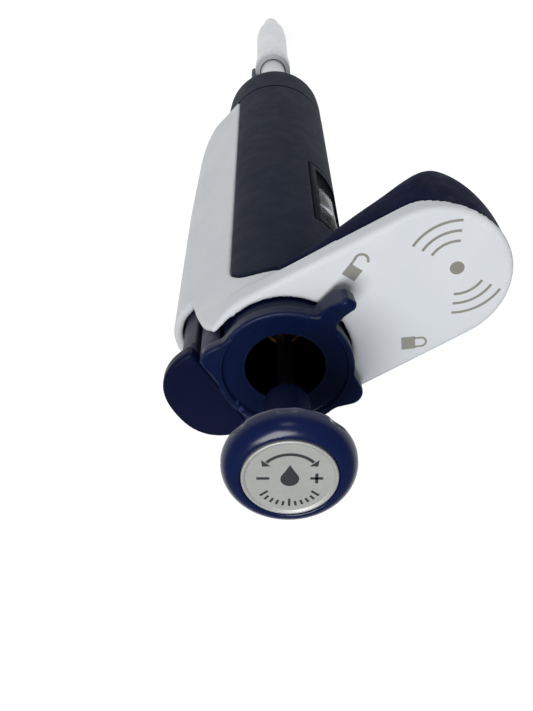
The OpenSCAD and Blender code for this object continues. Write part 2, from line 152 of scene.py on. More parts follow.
def polygon(x, y, points):
    """Signed distance to a closed outline."""
    nearest, inside = np.inf, False
    for (ax, ay), (bx, by) in zip(points, points[1:] + points[:1]):
        ex, ey = bx - ax, by - ay
        t = np.clip(((x - ax) * ex + (y - ay) * ey) / (ex * ex + ey * ey), 0, 1)
        nearest = np.minimum(nearest, (x - ax - ex * t) ** 2 + (y - ay - ey * t) ** 2)
        if ey:
            inside = inside ^ (((ay > y) != (by > y)) & (x < ax + ex * (y - ay) / ey))
    return np.where(inside, -1, 1) * np.sqrt(nearest)


def soft_polygon(x, y, points, r):
    """A closed outline, listed anticlockwise, with its outer corners rounded to radius r."""
    lines = []
    for (ax, ay), (bx, by) in zip(points, points[1:] + points[:1]):
        length = math.hypot(bx - ax, by - ay)
        nx, ny = (by - ay) / length, (ax - bx) / length
        lines.append((nx, ny, nx * ax + ny * ay - r))
    inner = []
    for (n1x, n1y, k1), (n2x, n2y, k2) in zip(lines[-1:] + lines[:-1], lines):
        cross = n1x * n2y - n1y * n2x
        inner.append(((k1 * n2y - k2 * n1y) / cross, (k2 * n1x - k1 * n2x) / cross))
    return polygon(x, y, inner) - r


def arc(cx, cy, r, start, end, count):
    steps = (math.radians(start + (end - start) * i / count) for i in range(count + 1))
    return [(cx + r * math.cos(a), cy + r * math.sin(a)) for a in steps]


# ---------------------------------------------------------------- meshes
def mesh_object(name, points, faces):
    mesh = bpy.data.meshes.new(name)
    mesh.from_pydata((np.asarray(points, float) * MM).tolist(), [], [list(f) for f in faces])
    mesh.shade_smooth()
    mesh.validate()
    return placed(name, mesh)


def settle(field, points, step, rounds=3):
    """Moves points onto the zero level of a field."""
    reach = 0.02 * step
    for _ in range(rounds):
        value = field(*points.T)
        slope = np.empty_like(points)
        for axis in range(3):
            ahead, behind = points.T.copy(), points.T.copy()
            ahead[axis] += reach
            behind[axis] -= reach
            slope[:, axis] = (field(*ahead) - field(*behind)) / (2 * reach)
        size = np.maximum((slope**2).sum(1), 0.05)
        move = slope * (value / size)[:, None]
        length = np.maximum(np.linalg.norm(move, axis=1), 1e-12)
        points = points - move * np.minimum(1, 0.6 * step / length)[:, None]
    return points


def solid(name, field, lowest, highest, step, smoothing=2):
    """Closed mesh of four-sided faces round the inside of a field."""
    axes = [np.arange(a - 1.6 * step, b + 2.6 * step, step) for a, b in zip(lowest, highest)]
    value = np.array(np.broadcast_to(field(*np.ix_(*axes)), [len(a) for a in axes]))
    value[value == 0] = 1e-9
    inside = value < 0
    cells = [n - 1 for n in value.shape]
    count = np.zeros(cells, np.int8)
    for i, j, k in itertools.product((0, 1), repeat=3):
        count += inside[i:i + cells[0], j:j + cells[1], k:k + cells[2]]
    found = np.argwhere((count > 0) & (count < 8))
    number = np.full(cells, -1, np.int64)
    number[tuple(found.T)] = np.arange(len(found))
    total, hits = np.zeros(found.shape), np.zeros(len(found))
    faces = []
    for axis in range(3):
        across, up = (axis + 1) % 3, (axis + 2) % 3
        for p, q in itertools.product((0, 1), repeat=2):
            start = found.copy()
            start[:, across] += p
            start[:, up] += q
            end = start.copy()
            end[:, axis] += 1
            a, b = value[tuple(start.T)], value[tuple(end.T)]
            crossed = (a < 0) != (b < 0)
            t = np.where(crossed, a / np.where(a == b, 1, a - b), 0)
            total[crossed] += (start + (end - start) * t[:, None])[crossed]
            hits += crossed
        first = inside.take(range(0, cells[axis]), axis)
        second = inside.take(range(1, cells[axis] + 1), axis)
        edges = np.argwhere(first != second)
        leaving = first[tuple(edges.T)]
        corners = []
        for p, q in ((1, 1), (0, 1), (0, 0), (1, 0)):
            cell = edges.copy()
            cell[:, across] -= p
            cell[:, up] -= q
            corners.append(number[tuple(cell.T)])
        quads = np.stack(corners, 1)
        faces += [quads[leaving], quads[~leaving][:, ::-1]]
    faces = np.concatenate(faces)
    points = np.array([a[0] for a in axes]) + step * total / hits[:, None]
    points = settle(field, points, step)
    ends = np.unique(np.sort(np.concatenate([faces[:, [i, (i + 1) % 4]] for i in range(4)]), 1), axis=0)
    for _ in range(smoothing):
        mean = np.zeros_like(points)
        for a, b in ((0, 1), (1, 0)):
            for axis in range(3):
                weights = points[ends[:, b], axis]
                mean[:, axis] += np.bincount(ends[:, a], weights, len(points))
        joined = np.bincount(ends.ravel(), minlength=len(points))
        points = settle(field, (points + mean / joined[:, None]) / 2, step, 1)
    return mesh_object(name, settle(field, points, step, 1), faces)


def lathe(name, profile, steps=96):
    """Solid turned from an outline of (radius, height) points, listed anticlockwise."""
    angles = [2 * math.pi * i / steps for i in range(steps)]
    points = [(r * math.cos(a), r * math.sin(a), z) for a in angles for r, z in profile]
    n = len(profile)
    faces = []
    for i in range(steps):
        here, following = i * n, (i + 1) % steps * n
        for k in range(n):
            m = (k + 1) % n
            faces.append((here + k, following + k, following + m, here + m))
    made = mesh_object(name, points, faces)
    clean(made)
    return made


def clean(made):
    """Joins points that meet on the axis, drops empty faces and marks sharp edges."""
    work = bmesh.new()
    work.from_mesh(made.data)
    bmesh.ops.remove_doubles(work, verts=work.verts, dist=0.002 * MM)
    bmesh.ops.dissolve_degenerate(work, edges=work.edges, dist=0.002 * MM)
    bmesh.ops.recalc_face_normals(work, faces=work.faces)
    work.to_mesh(made.data)
    work.free()
    made.data.shade_smooth()
    made.data.set_sharp_from_angle(angle=math.radians(40))


def rounded(profile, r, steps=4):
    """A (radius, height) outline with every corner off the axis turned into a small arc."""
    result = []
    count = len(profile)
    for i, (x, z) in enumerate(profile):
        (ax, az), (bx, bz) = profile[i - 1], profile[(i + 1) % count]
        la, lb = math.hypot(ax - x, az - z), math.hypot(bx - x, bz - z)
        reach = min(r, 0.45 * la, 0.45 * lb)
        if x < 1e-6 or reach < 1e-4:
            result.append((x, z))
            continue
        start = ((ax - x) / la * reach, (az - z) / la * reach)
        end = ((bx - x) / lb * reach, (bz - z) / lb * reach)
        for k in range(steps + 1):
            t = k / steps
            u, v = (1 - t) ** 2, t**2
            result.append((x + start[0] * u + end[0] * v, z + start[1] * u + end[1] * v))
    return result


def prism(name, outlines, bottom, top):
    """Flat solids between two heights, one for each closed outline."""
    work = bmesh.new()
    for outline in outlines:
        ring = [work.verts.new((x * MM, y * MM, bottom * MM)) for x, y in outline]
        face = work.faces.new(ring)
        grown = bmesh.ops.extrude_face_region(work, geom=[face])["geom"]
        moved = [v for v in grown if isinstance(v, bmesh.types.BMVert)]
        bmesh.ops.translate(work, verts=moved, vec=(0, 0, (top - bottom) * MM))
    return finished(name, work)


def finished(name, work):
    """Turns a mesh that is being built into an object with its faces the right way round."""
    bmesh.ops.recalc_face_normals(work, faces=work.faces)
    mesh = bpy.data.meshes.new(name)
    work.to_mesh(mesh)
    work.free()
    return placed(name, mesh)


# ---------------------------------------------------------------- materials
def tint(red, green, blue):
    """Linear colour from the usual 0 to 255 scale."""
    parts = [c / 255 for c in (red, green, blue)]
    return tuple(c / 12.92 if c <= 0.04045 else ((c + 0.055) / 1.055) ** 2.4 for c in parts) + (1,)


class Paint:
    """A Principled material and short ways to add nodes to it."""

    def __init__(self, name, colour, roughness, **sockets):
        self.material = bpy.data.materials.new(name)
        self.material.use_nodes = True
        self.tree = self.material.node_tree
        self.shader = self.tree.nodes["Principled BSDF"]
        self.shader.inputs["Base Color"].default_value = colour
        self.shader.inputs["Roughness"].default_value = roughness
        for socket, value in sockets.items():
            self.shader.inputs[socket.replace("_", " ")].default_value = value
        self.place = self.add("ShaderNodeTexCoord").outputs["Object"]

    def add(self, kind, links=(), **values):
        made = self.tree.nodes.new(kind)
        for key, value in values.items():
            setattr(made, key, value)
        for socket, source in dict(links).items():
            if isinstance(source, bpy.types.NodeSocket):
                self.tree.links.new(source, made.inputs[socket])
            else:
                made.inputs[socket].default_value = source
        return made

    def noise(self, scale, detail=3, distortion=0.0, stretch=(1, 1, 1)):
        place = self.add("ShaderNodeMapping", {"Vector": self.place, "Scale": stretch}).outputs[0]
        links = {"Vector": place, "Scale": scale, "Detail": detail, "Distortion": distortion}
        return self.add("ShaderNodeTexNoise", links).outputs["Fac"]

    def spread(self, value, start, end, low_value, high_value):
        links = {"Value": value, "From Min": start, "From Max": end, "To Min": low_value,
                 "To Max": high_value}
        return self.add("ShaderNodeMapRange", links, clamp=True).outputs[0]

    def blend(self, factor, first, second):
        mixed = self.add("ShaderNodeMix", data_type="RGBA")
        for socket, source in ((0, factor), (6, first), (7, second)):
            if isinstance(source, bpy.types.NodeSocket):
                self.tree.links.new(source, mixed.inputs[socket])
            else:
                mixed.inputs[socket].default_value = source
        return mixed.outputs[2]

    def set(self, socket, source):
        self.tree.links.new(source, self.shader.inputs[socket])

    def bump(self, layers):
        """Adds layers of relief: (height source, depth in millimetres)."""
        normal = None
        for source, depth in layers:
            links = {"Height": source, "Distance": depth * MM, "Strength": 1.0}
            if normal:
                links["Normal"] = normal
            normal = self.add("ShaderNodeBump", links).outputs[0]
        self.set("Normal", normal)


def scaled(colour, factor):
    return tuple(min(1, c * factor) for c in colour[:3]) + (1,)


def moulded(name, colour, roughness, grain=0.010, grain_scale=2600, mottle=0.10, wear_and_highlight=None, shaded_bore=None,
            **sockets):
    """Moulded plastic: faint flow marks in the colour, a fine texture and lighter edges.

    The lighter edges are rubbed wear, and on the lock ring a painted highlight along its lip. The last
    argument before the sockets is the (radius, height) of a hole on the axis whose inside is darkened as
    painted shade."""
    paint = Paint(name, colour, roughness, **sockets)
    flow = paint.spread(paint.noise(90, 4, 0.6), 0.3, 0.7, 0, 1)
    base = paint.blend(flow, scaled(colour, 1 - mottle), scaled(colour, 1 + mottle))
    # Lighter convex edges: rubbed wear, and on the lock ring a painted highlight along the lip.
    if wear_and_highlight:
        edge = paint.add("ShaderNodeNewGeometry").outputs["Pointiness"]
        rub = paint.spread(edge, 0.53, 0.62, 0, 1)
        patch = paint.spread(paint.noise(420, 5), 0.35, 0.60, 0.3, 0.8)
        mask = paint.add("ShaderNodeMath", {0: rub, 1: patch}, operation="MULTIPLY").outputs[0]
        base = paint.blend(mask, base, wear_and_highlight)
    # Painted shade: the inside of a hole on the axis is darkened to near black.
    if shaded_bore:
        flat = paint.add("ShaderNodeVectorMath", {0: paint.place, 1: (1, 1, 0)}, operation="MULTIPLY")
        away = paint.add("ShaderNodeVectorMath", {0: flat.outputs[0]}, operation="LENGTH").outputs["Value"]
        height = paint.add("ShaderNodeSeparateXYZ", {0: paint.place}).outputs[2]
        inside = paint.spread(away, (shaded_bore[0] - 0.1) * MM, shaded_bore[0] * MM, 1, 0)
        below = paint.spread(height, (shaded_bore[1] - 0.1) * MM, shaded_bore[1] * MM, 1, 0)
        mask = paint.add("ShaderNodeMath", {0: inside, 1: below}, operation="MULTIPLY").outputs[0]
        base = paint.blend(mask, base, scaled(colour, 0.08))
    paint.set("Base Color", base)
    smear = paint.noise(240, 5, 0.8)
    paint.set("Roughness", paint.spread(smear, 0.3, 0.7, roughness * 0.86, min(1, roughness * 1.16)))
    fine = paint.noise(grain_scale, 2)
    wave = paint.noise(160, 2)
    paint.bump([(wave, grain * 3), (fine, grain)])
    return paint.material


def soft_touch(name, colour, roughness):
    """Rubber-like grip with a pebbled skin."""
    paint = Paint(name, colour, roughness, Specular_IOR_Level=0.03, Sheen_Weight=0.05,
                  Sheen_Roughness=0.4)
    flow = paint.spread(paint.noise(70, 5, 0.5), 0.3, 0.7, 0, 1)
    dusty = paint.spread(paint.noise(900, 4), 0.5, 0.75, 0, 0.35)
    base = paint.blend(flow, scaled(colour, 0.93), scaled(colour, 1.07))
    paint.set("Base Color", paint.blend(dusty, base, scaled(colour, 1.4)))
    smear = paint.noise(300, 5, 0.5)
    paint.set("Roughness", paint.spread(smear, 0.3, 0.7, roughness * 0.85, roughness * 1.1))
    cells = paint.add("ShaderNodeTexVoronoi", {"Vector": paint.place, "Scale": 2300.0})
    paint.bump([(paint.noise(120, 3), 0.02), (cells.outputs["Distance"], 0.02)])
    return paint.material


def metal(name, colour, roughness, brushed=(1, 1, 14), depth=0.004, stain=None):
    """Turned or drawn metal with fine tool marks."""
    paint = Paint(name, colour, roughness, Metallic=1.0)
    lines = paint.noise(1500, 3, 0.0, brushed)
    shade = paint.spread(paint.noise(260, 5, 0.4), 0.35, 0.75, 0, 1)
    base = paint.blend(lines, scaled(colour, 0.86), scaled(colour, 1.1))
    paint.set("Base Color", paint.blend(shade, base, stain or scaled(colour, 0.7)))
    paint.set("Roughness", paint.spread(lines, 0.3, 0.7, roughness * 0.75, roughness * 1.3))
    paint.bump([(lines, depth)])
    return paint.material


def shell_white():
    """Satin white shell: faint mottling, fine texture, grime caught along its edges."""
    colour = tint(212, 216, 220)
    paint = Paint("shell_white", colour, 0.42, Specular_IOR_Level=0.06)
    flow = paint.spread(paint.noise(55, 4, 0.5), 0.3, 0.7, 0, 1)
    base = paint.blend(flow, tint(209, 213, 217), tint(217, 220, 223))
    edge = paint.add("ShaderNodeNewGeometry").outputs["Pointiness"]
    crease = paint.spread(edge, 0.535, 0.60, 0, 1)
    patch = paint.spread(paint.noise(380, 6, 0.7), 0.50, 0.68, 0, 0.55)
    mask = paint.add("ShaderNodeMath", {0: crease, 1: patch}, operation="MULTIPLY").outputs[0]
    base = paint.blend(mask, base, tint(160, 154, 146))
    scuff = paint.spread(paint.noise(800, 3, 1.2, (1, 1, 0.15)), 0.68, 0.76, 0, 0.12)
    paint.set("Base Color", paint.blend(scuff, base, tint(176, 176, 178)))
    paint.set("Roughness", paint.spread(paint.noise(210, 5, 0.7), 0.3, 0.7, 0.34, 0.48))
    paint.bump([(paint.noise(70, 2), 0.03), (paint.noise(2800, 2), 0.004)])
    return paint.material


def label_metal():
    """Satin silver foil, brushed one way, a little dirty."""
    colour = tint(186, 187, 184)
    paint = Paint("label_silver", colour, 0.42, Metallic=0.35)
    lines = paint.noise(900, 3, 0.0, (1, 22, 1))
    cloud = paint.spread(paint.noise(150, 4, 0.4), 0.3, 0.7, 0, 1)
    base = paint.blend(lines, scaled(colour, 0.9), scaled(colour, 1.08))
    paint.set("Base Color", paint.blend(cloud, base, scaled(colour, 0.9)))
    paint.set("Roughness", paint.spread(lines, 0.3, 0.7, 0.36, 0.52))
    paint.bump([(lines, 0.002)])
    return paint.material


def clear_plastic():
    paint = Paint("clear_lens", tint(176, 182, 188), 0.05, IOR=1.04, Transmission_Weight=0.97)
    paint.set("Roughness", paint.spread(paint.noise(500, 4, 0.5), 0.4, 0.7, 0.03, 0.12))
    paint.bump([(paint.noise(90, 2), 0.01)])
    return paint.material


# moulded: name, colour, roughness, depth of the grain, its scale, mottling, colour of rubbed edges (on the
# ring a painted lip highlight), hole darkened inside as painted shade
# metal: name, colour, roughness, stretch of the tool marks, their depth, stain
MATERIALS = {
    "white_shell": shell_white(),
    "grip": soft_touch("grip_slate", tint(28, 35, 52), 0.72),
    "hook_navy": moulded("hook_navy", tint(10, 17, 50), 0.60, 0.012, 2200, 0.12, tint(40, 43, 62),
                         Specular_IOR_Level=0.02),
    "pad_navy": moulded("pad_navy", tint(12, 17, 46), 0.40, 0.006, 2400, 0.10, tint(36, 42, 76),
                        Specular_IOR_Level=0.08),
    "royal_blue": moulded("royal_blue", tint(7, 21, 64), 0.22, 0.004, 2400, 0.08,
                          Specular_IOR_Level=0.32),
    "stem_blue": moulded("stem_blue", tint(6, 15, 46), 0.42, 0.005, 2400, 0.08,
                         Specular_IOR_Level=0.03),
    # The ring's lighter edge colour is a painted highlight along its lip; the inside of its hole is
    # darkened as painted shade.
    "ring_blue": moulded("ring_blue", tint(8, 21, 54), 0.30, 0.005, 2400, 0.08, tint(56, 68, 112),
                         (7.7, LIP_Z - 1.3), Specular_IOR_Level=0.12),
    "label_silver": label_metal(),
    "tag_amber": moulded("tag_amber", tint(190, 132, 52), 0.35),
    "bezel_black": moulded("bezel_black", tint(22, 27, 41), 0.6, Specular_IOR_Level=0.03),
    "clear_lens": clear_plastic(),
    "frame_slate": moulded("frame_slate", tint(34, 43, 70), 0.5, wear_and_highlight=tint(66, 72, 94),
                           Specular_IOR_Level=0.12),
    "brass": metal("brass", tint(196, 158, 92), 0.26, (1, 1, 18), 0.004, tint(128, 96, 52)),
    "rubber_black": soft_touch("rubber_black", tint(12, 12, 14), 0.7),
    "steel": metal("steel", tint(178, 180, 184), 0.28, (1, 1, 16)),
    "piston_steel": metal("piston_steel", tint(200, 202, 206), 0.14, (1, 1, 30), 0.001),
    "rod_dark": moulded("rod_dark", tint(12, 13, 16), 0.36, 0.004, Specular_IOR_Level=0.2),
    "spring_steel": metal("spring_steel", tint(166, 168, 172), 0.24, (4, 4, 4)),
    "nut_grey": moulded("nut_grey", tint(176, 180, 187), 0.44, wear_and_highlight=tint(206, 208, 212),
                        Specular_IOR_Level=0.2),
    "shaft_pale": moulded("shaft_pale", tint(220, 223, 226), 0.36, 0.006),
    "seal_white": moulded("seal_white", tint(232, 232, 228), 0.5),
    "drum_black": moulded("drum_black", tint(14, 15, 18), 0.5, 0.005, Specular_IOR_Level=0.05),
    "pinion_ivory": moulded("pinion_ivory", tint(222, 214, 190), 0.45),
    "arm_grey": moulded("arm_grey", tint(66, 70, 86), 0.5, wear_and_highlight=tint(96, 100, 112),
                        Specular_IOR_Level=0.08),
}
INK = moulded("ink_grey", tint(138, 136, 128), 0.55, 0.003)
INK_DARK = moulded("ink_dark", tint(44, 45, 50), 0.5, 0.003)
INK_PALE = moulded("ink_pale", tint(226, 226, 220), 0.5, 0.003)


def piece(made, body, slot, nodes=(), material=None):
    """Gives a piece its material, the body that it moves with and the CAD nodes it stands for."""
    made.data.materials.clear()
    made.data.materials.append(material or MATERIALS[slot])
    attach(made, body)
    if nodes:
        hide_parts(*nodes)
    return made


# ---------------------------------------------------------------- handle
# Depth below the hook's top, how far the handle reaches back there, and its rear radius
TAPER = [(0, REAR_REACH, 8), (62, REAR_REACH, 8.1), (72, REAR_REACH - 0.4, 8.4),
         (82, REAR_REACH - 0.8, 8.7), (92, REAR_REACH - 1.4, 9.3), (97, REAR_REACH - 2.4, 9.7),
         (106.5, REAR_REACH - 6, 10.5), (112, REAR_REACH - 7.5, 10.7), (130, REAR_REACH - 10, 11)]
KERNEL = np.hanning(11)[1:-1] / np.hanning(11)[1:-1].sum()


def smoothed(places, table):
    """Values of a table of (place, value) rows at evenly spaced places, with its corners softened."""
    return np.convolve(np.interp(places, *zip(*table)), KERNEL, "same")


depths = np.arange(-20, 150.0)
reaches = smoothed(depths, [(depth, reach) for depth, reach, _ in TAPER])
rears = smoothed(depths, [(depth, rear) for depth, _, rear in TAPER])


def handle_section(x, y, z, inset):
    """The handle's outline at every height, moved in by inset."""
    depth = HOOK_Z - z
    rear = np.interp(depth, depths, rears)
    back = np.interp(depth, depths, reaches) - rear
    return capsule(-x, y, GRIP_R - inset, rear - inset, back)


def hook_section(x, y):
    return capsule(x, y, HOOK_SIDE, HOOK_END_R, HOOK_REACH - HOOK_END_R)


def panel_outline(x, z, bottom, grow):
    """Side view of the dark front panel."""
    corner_r, beyond = 7, 30
    corner = arc(PANEL_REAR + corner_r, PANEL_TOP - corner_r, corner_r, 90, 180, 12)
    points = [(beyond, bottom), (beyond, PANEL_TOP)] + corner + [(PANEL_REAR, bottom)]
    return polygon(x, z, points) - grow


# Side view of what is cut from the shell's top behind the axis, for the ejector's thumb pad
REAR_TOP = [(-30, HOOK_Z - 16.5), (-14, HOOK_Z - 16.5), (-13.1, HOOK_Z - 14.3), (-12.2, HOOK_Z - 10.9),
            (-11.3, HOOK_Z - 8.2), (-10.2, HOOK_Z - 5.2), (-9, HOOK_Z - 2.7), (-7.8, HOOK_Z - 1),
            (-6.8, HOOK_Z + 1), (-6.8, HOOK_Z + 9), (-30, HOOK_Z + 9)]

# How far the hook cover wraps up at the very tip of the hook
TIP_RISE = 2.6


def tip_rise(x):
    """How far the hook cover wraps up round the thin front edge of the white plate."""
    return TIP_RISE * ease((x - 28) / 9.7)


def body_shell(x, y, z):
    """White shell: handle and hook plate, less the inside, the panel, the thumb notch and the hole."""
    floor_z = SPINE_Z + 1.3
    below = z - SPINE_Z - 3
    plate = np.maximum(hook_section(x, y), PLATE_Z + tip_rise(x) - z)
    body = np.minimum(handle_section(x, y, z, 0), plate)
    body = round_both(body, z - HOOK_Z, 0.7)
    body = round_both(body, SPINE_Z - z, 0.3)
    inner = np.maximum(handle_section(x, y, z, WALL), slab(z, floor_z, PLATE_Z))
    body = cut(body, inner, 0.25)
    body = cut(body, np.maximum(np.hypot(x, y) - GRIP_R + WALL - 0.15, below), 0.2)
    arm_slot = np.maximum(slab(x, -17.2, -13.6), np.maximum(np.abs(y) - 3.1, below))
    body = cut(body, arm_slot, 0.2)
    gap = SEAM / 2 + 0.35 * ease((z - PANEL_TOP + 3) / 3)
    body = cut(body, panel_outline(x, z, SPINE_Z - 5, gap), 0.35)
    body = cut(body, polygon(x, z, REAR_TOP), 0.7)
    body = cut(body, np.maximum(np.hypot(x, y) - HOLE_R, PLATE_Z - 3 - z), 0.2)
    behind = np.maximum(x - PANEL_REAR, PLATE_Z - 1 - z)
    rear = np.maximum(handle_section(x, y, HOOK_Z + 0 * z, 1.0), behind)
    return cut(body, rear, 0.5)


def grip_panel(x, y, z):
    """Dark front panel of the handle, with the opening of the volume window."""
    body = cut(handle_section(x, y, z, 0), handle_section(x, y, z, WALL), 0.3)
    body = round_both(body, panel_outline(x, z, PANEL_LOW, -SEAM / 2), 0.35)
    hole = np.maximum(np.maximum(np.abs(y) - 5.4, -x), slab(z, WINDOW_LOW - 0.1, WINDOW_HIGH + 0.1))
    return cut(body, hole, 0.3)


# The cap's rounded end
CAP_END = CAP_Z + 1.9


def end_cap(x, y, z):
    """Round lower cap with the lug that guides the ejector's pin."""
    top = SPINE_Z - SEAM
    profile = [(8.9, CAP_END), (9.9, CAP_END), (11.2, CAP_Z + 3.4), (11.8, CAP_Z + 5.6),
               (11.95, CAP_Z + 9), (11.95, top), (10.25, top), (10.25, SPINE_Z + 5),
               (9.1, SPINE_Z + 5), (9.1, 102.5), (8.9, 102.5)]
    body = polygon(np.hypot(x, y), z, profile)
    body = round_both(body, CAP_END - z, 0.5)
    lug = np.maximum(slab(x, -9.9, -7), np.maximum(np.abs(y) - 2.4, slab(z, 110, 113.9)))
    body = np.minimum(body, lug)
    return cut(body, np.hypot(x - PIN_X, y) - 0.85, 0.1)


# How deep the hook's cover is along the hook, the length of its round front end and its curve there
COVER_ROUND = 6
COVER_CURVE = 1.9
COVER_DEEP = HOOK_REACH - COVER_ROUND
COVER_DEPTH = [(0, 5.2), (12, 5.2), (16, 8.7), (20, 11.2), (24, 12.9), (28, 15.2),
               (COVER_DEEP, 18.6), (60, 18.6)]
TAG_CENTRE = HOOK_REACH - 12.2
cover_places = np.arange(-5, 50, 0.5)
cover_depths = smoothed(cover_places, COVER_DEPTH)


def hook_cover(x, y, z):
    """Underside of the finger hook: a softly squared section that deepens towards the front."""
    centre = HOOK_REACH - HOOK_END_R
    nose = np.sqrt(np.maximum(HOOK_END_R**2 - np.clip(x - centre, 0, None) ** 2, 0.04))
    half = np.where(x < centre, HOOK_END_R + (HOOK_SIDE - HOOK_END_R) * (centre - x) / centre, nose)
    half = np.maximum(half - SEAM - 0.8 * ease((x - 30) / 6), 0.2)
    past = np.clip(x - COVER_DEEP, 0, None) / COVER_ROUND
    front = np.maximum(1 - past**COVER_CURVE, 0.01) ** (1 / COVER_CURVE)
    rise = tip_rise(x)
    depth = np.interp(x, cover_places, cover_depths) * front + rise
    power = 2 / 0.65
    down = (PLATE_Z - SEAM + rise - z) / depth
    ratio = ((np.abs(y) / half) ** power + np.abs(down) ** power) ** (1 / power)
    body = (ratio - 1) * np.minimum(half, depth)
    body = round_both(body, slab(x, 6, HOOK_REACH - SEAM), 0.3)
    body = round_both(body, z - PLATE_Z + SEAM - rise, 0.2)
    body = cut(body, np.hypot(x, y) - GRIP_R - SEAM, 0.3)
    land = np.maximum(np.maximum(slab(x, 13, 18), np.abs(y) - 7), slab(z, PLATE_Z - 12, PLATE_Z - 2.8))
    body = cut(body, land, 0.15)
    tag_pit = np.maximum(np.hypot(x - TAG_CENTRE, y) - 8.2, PLATE_Z - 1.3 - z)
    return cut(body, tag_pit, 0.15)


# ---------------------------------------------------------------- lock ring and plunger
def along_ray(x, y, angle):
    """Places along and across a ray from the axis at some angle."""
    a = math.radians(angle)
    return x * math.cos(a) + y * math.sin(a), y * math.cos(a) - x * math.sin(a)


def lock_ring(x, y, z):
    """Turning collar: a thin-walled spigot, a wide rim with two finger lobes, and the thumb lever."""
    r = np.hypot(x, y)
    profile = [(6.3, LIP_Z - 2), (7.4, LIP_Z - 2.4), (7.4, HOOK_Z - 17.1), (8.38, HOOK_Z - 17.1),
               (8.38, PLATE_Z + 0.2), (10.4, PLATE_Z + 0.2), (10.4, LIP_Z - 2.2), (10.8, LIP_Z - 2.0),
               (10.8, LIP_Z - 0.1), (10.6, LIP_Z), (9.95, LIP_Z), (9.6, LIP_Z - 0.75), (6.3, LIP_Z - 1)]
    body = soft_polygon(r, z, profile, 0.12)
    for lobe_angle in (138, -55):
        along, side = along_ray(x, y, lobe_angle)
        lobe = capsule(along - 6, side, 5.4, 2.3, 4.9)
        lobe = round_both(lobe, slab(z, LIP_Z - 2.1, LIP_Z), 0.35)
        lobe = np.maximum(lobe, 9.95 - r)
        body = round_either(body, lobe, 0.3)
    along, side = along_ray(x, y, LEVER_ANGLE)
    shape = [(10.2, HOOK_Z + 0.7), (15, HOOK_Z + 1.2), (16.6, HOOK_Z + 3.4), (17, HOOK_Z + 6.8),
             (16.2, HOOK_Z + 7.4), (13.4, HOOK_Z + 5.4), (10.2, LIP_Z - 0.2)]
    half = 1.7 - 0.6 * np.clip((along - 11.5) / 5.5, 0, 1)
    lever = round_both(soft_polygon(along, z, shape, 0.8), np.abs(side) - half, 0.55)
    return round_either(body, lever, 1.1)


# Flutes round the foot of the button, and how deep its label is let in
FLUTES = 8
FLUTE_R = 2.4
LABEL_RECESS = 0.7


def plunger_button(x, y, z):
    """Round button with a soft shoulder, short flutes at its foot and a recess for the label."""
    r = np.hypot(x, y)
    profile = ([(0, KNOB_Z), (KNOB_R - 2.2, KNOB_Z)] + arc(KNOB_R - 1.6, KNOB_Z + 1.6, 1.6, -70, 0, 6)
               + arc(KNOB_R - 3, TOTAL - 3, 3, 6, 80, 11)
               + [(LABEL_R + 0.25, TOTAL - 0.08), (LABEL_R + 0.1, TOTAL - LABEL_RECESS),
                  (0, TOTAL - LABEL_RECESS)])
    body = polygon(r, z, profile)
    for i in range(FLUTES):
        along, side = along_ray(x, y, 360 / FLUTES * i + 16)
        flute = np.hypot(along - KNOB_R - 1.9, side) - FLUTE_R
        flute = round_both(flute, z - KNOB_Z - 1.9, 0.25)
        body = cut(body, flute, 0.25)
    return body


# Thumb pad: half its width, how far it reaches back, and where its straight front edge is
PAD_HALF = 9.1
PAD_REACH = 9.3
PAD_FRONT = -11.75


def ejector_button(x, y, z):
    """Thumb pad of the tip ejector, half an oval with a shallow dish."""
    across, along = np.abs(y) / PAD_HALF, np.abs(x - PAD_FRONT) / PAD_REACH
    power = 2 / 0.85
    edge = ((across**power + along**power + 1e-9) ** (1 / power) - 1) * PAD_HALF
    edge = round_both(edge, x - PAD_FRONT, 0.8)
    dish = 0.5 * ease(1.15 - np.hypot(across, (x + 15.5) / 6))
    body = round_both(edge, z - PAD_TOP + dish, 0.7)
    return round_both(body, PAD_LOW - z, 0.4)


# Side view of the ejector's arm: down its outer face to the clip on the sleeve, and up its inner face
# with the lug that the spring pushes on
ARM_PATH = [(-17, HOOK_Z - 20), (-17, 141), (-16.6, 129), (-16.1, 117), (-15.8, 108), (-15.4, 100),
            (-15.2, 92), (-14.8, 86), (-14, 80), (-10.6, 70), (-7.6, 63.5), (-6.2, 60), (-6.2, 50),
            (-4.6, 50), (-4.6, 60), (-6.2, 63.6), (-9.3, 70.6), (-12.7, 80.4), (-13.5, 86.3),
            (-13.9, 92), (-14.1, 100), (-14.5, 108), (-14.8, 117), (-15.3, 129), (-15.5, 131.5),
            (-7, 133), (-7, 135.5), (-15.5, 137), (-15.7, 141), (-15.7, HOOK_Z - 20)]


def ejector_arm(x, y, z):
    """Grey arm: a head that fills the handle's rear under the pad, a long strip and a guide pin."""
    head = np.maximum(handle_section(x, y, HOOK_Z + 0 * z, WALL + 0.4), x + 13.2)
    head = round_both(head, slab(z, HOOK_Z - 22, PAD_LOW), 0.5)
    block = np.maximum(handle_section(x, y, HOOK_Z + 0 * z, 1.5), x + 13.6)
    head = round_either(head, round_both(block, slab(z, HOOK_Z - 6.6, PAD_LOW), 0.5), 0.3)
    strip = round_both(soft_polygon(x, z, ARM_PATH, 0.3), np.abs(y) - 2.6, 0.4)
    body = round_either(head, strip, 0.6)
    pin = round_both(np.hypot(x - PIN_X, y) - 0.7, slab(z, 116.5, 133.5), 0.15)
    body = round_either(body, pin, 0.2)
    return cut(body, np.maximum(np.hypot(x, y) - 5.3, slab(z, 49, 58)), 0.2)


